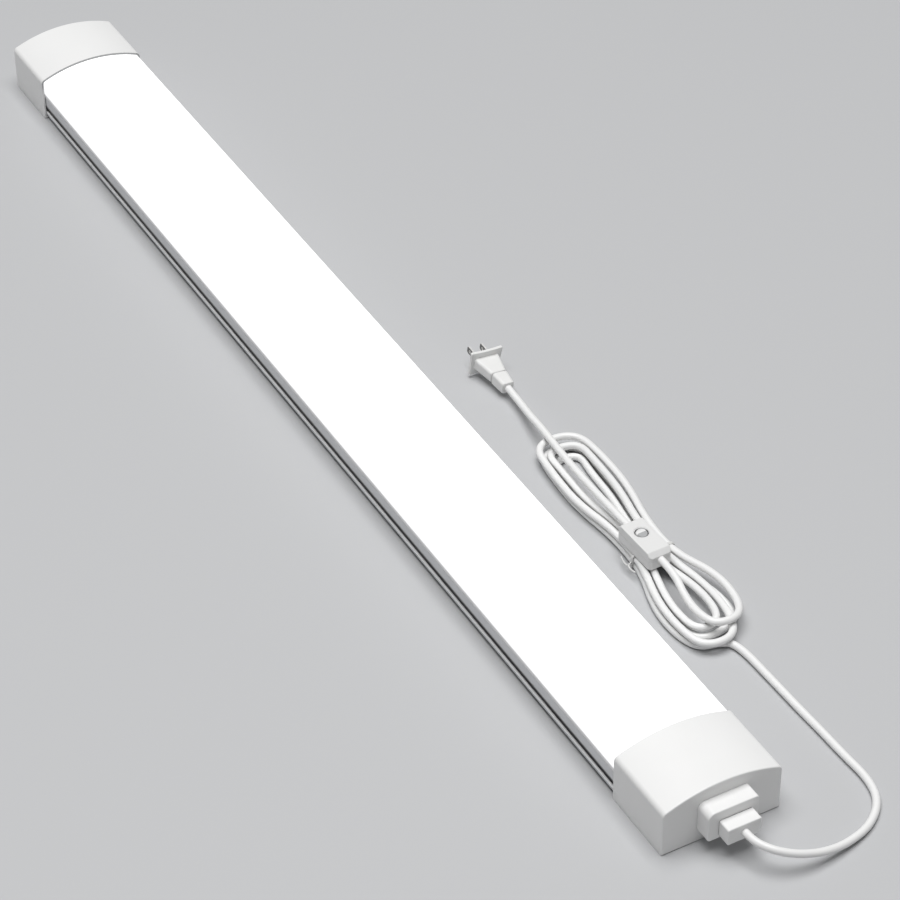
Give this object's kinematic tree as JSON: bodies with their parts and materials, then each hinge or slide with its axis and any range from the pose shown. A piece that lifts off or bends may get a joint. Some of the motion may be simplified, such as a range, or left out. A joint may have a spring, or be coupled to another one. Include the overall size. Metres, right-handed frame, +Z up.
{
  "type": "vapor tight tube light",
  "caption": "Long low linear light: crowned opal diffuser on an aluminium channel, white end caps, and a plug-in power cord in a tied hank with an in-line rocker switch and a mains plug.",
  "frame": {"origin": "on the surface the lamp lies on, under the middle of its length with the inlet counted in", "axes": "+X along the lamp towards the end with the cord, +Y across it towards the tied hank, +Z up out of the diffuser"},
  "size_m": [1.266, 0.1997, 0.053],
  "materials": {
    "satin_aluminium": "satin anodised",
    "opal_cover": "opal polycarbonate, light diffusing",
    "white_moulding": "semi-gloss moulded",
    "white_jacket": "smooth PVC",
    "rocker_white": "gloss moulded",
    "seal_rubber": "soft silicone",
    "white_sheet": "white powder coat",
    "white_board": "white solder mask",
    "phosphor": "phosphor in a white frame",
    "green_board": "green solder mask",
    "ferrite": "dark ferrite and taped coil",
    "can_sleeve": "shrink sleeve",
    "copper_winding": "enamelled copper",
    "terminal_plastic": "moulded",
    "wire_black": "PVC insulation",
    "wire_red": "PVC insulation",
    "screw_steel": "zinc plated",
    "plated_brass": "bright",
    "plated_blade": "nickel plated",
    "tie_coating": "PVC coated wire"
  },
  "bodies": {
    "lamp": {"base_extrusion": "satin_aluminium", "diffuser": "opal_cover", "end_cap_cord": "white_moulding", "end_cap_blank": "white_moulding", "end_cap_screws": "screw_steel", "end_seal_cord": "seal_rubber", "end_seal_blank": "seal_rubber", "led_tray": "white_sheet", "led_board_left": "white_board", "led_board_right": "white_board", "led_chips": "phosphor", "led_board_screws": "screw_steel", "driver_board": "green_board", "driver_transformer": "ferrite", "driver_capacitors": "can_sleeve", "driver_choke": "copper_winding", "driver_terminals": "terminal_plastic", "driver_screws": "screw_steel", "supply_wires": "wire_black", "led_wires": "wire_red", "inlet_socket": "white_moulding", "inlet_gasket": "seal_rubber", "inlet_pins": "plated_brass"},
    "cord_set": {"cord_connector": "white_moulding", "connector_contacts": "plated_brass", "cord_lamp_run": "white_jacket", "cord_hank": "white_jacket", "hank_tie": "tie_coating", "switch_base": "white_moulding", "switch_cover": "white_moulding", "switch_contacts": "plated_brass", "switch_screws": "screw_steel", "cord_plug_run": "white_jacket", "plug_body": "white_jacket", "plug_blades": "plated_blade"},
    "rocker": {"switch_rocker": "rocker_white"}
  },
  "joints": [
    {"name": "connector_pull", "type": "slide", "parent": "lamp", "child": "cord_set", "axis": [1, 0, 0], "range_m": [0, 0.016]},
    {"name": "rocker_tip", "type": "hinge", "parent": "cord_set", "child": "rocker", "pos_m": [0.3042, 0.10817, 0.0275], "axis": [-0.0262, 0.9997, 0], "range_deg": [-16, 0]}
  ]
}
